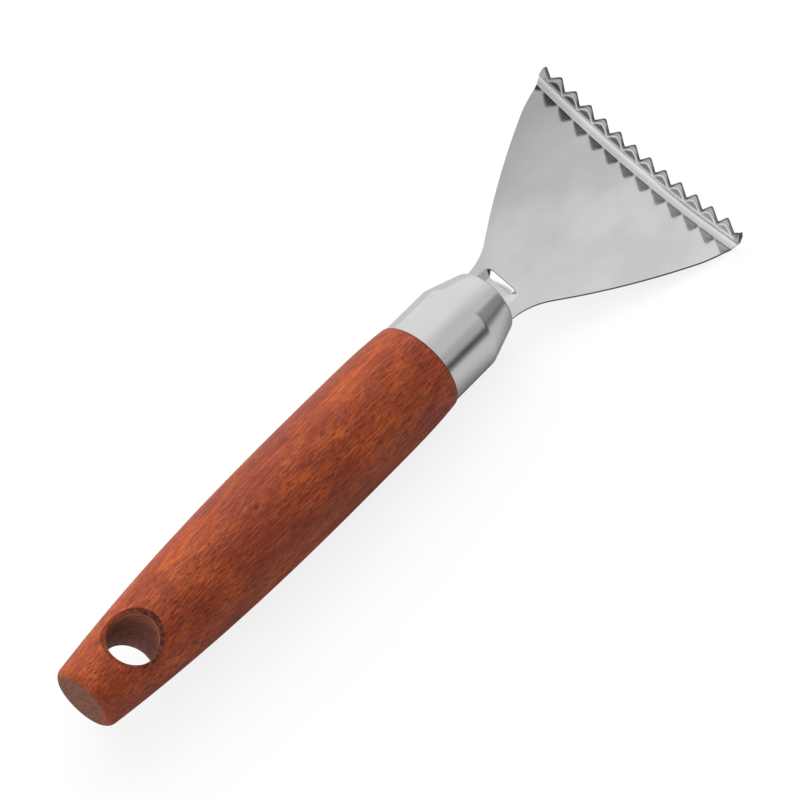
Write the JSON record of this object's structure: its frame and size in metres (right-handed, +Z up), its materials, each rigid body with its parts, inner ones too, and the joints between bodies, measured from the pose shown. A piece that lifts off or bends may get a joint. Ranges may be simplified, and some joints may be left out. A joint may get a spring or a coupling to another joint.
{
  "type": "fish scaler",
  "caption": "Hand fish scaler with a fan-shaped steel head whose front edge is turned up into a row of teeth, a steel ferrule and a turned wooden handle with a hanging hole.",
  "frame": {"origin": "middle of the hanging hole, on the middle line of the handle", "axes": "+Z up from the surface that the scaler lies on, +Y along the handle from its butt to the teeth as seen from above, +X to the right. The teeth point up, and the scaler leans 21.1 degrees onto the right front corner of its head, with its teeth 1.4 degrees down."},
  "size_m": [0.0753, 0.2384, 0.0362],
  "materials": {
    "head_steel": "satin polished",
    "ferrule_steel": "brushed round its axis",
    "handle_wood": "reddish brown, satin, open pores along the grain"
  },
  "bodies": {
    "root": {"scaler_head": "head_steel", "ferrule": "ferrule_steel", "handle": "handle_wood"}
  },
  "joints": []
}
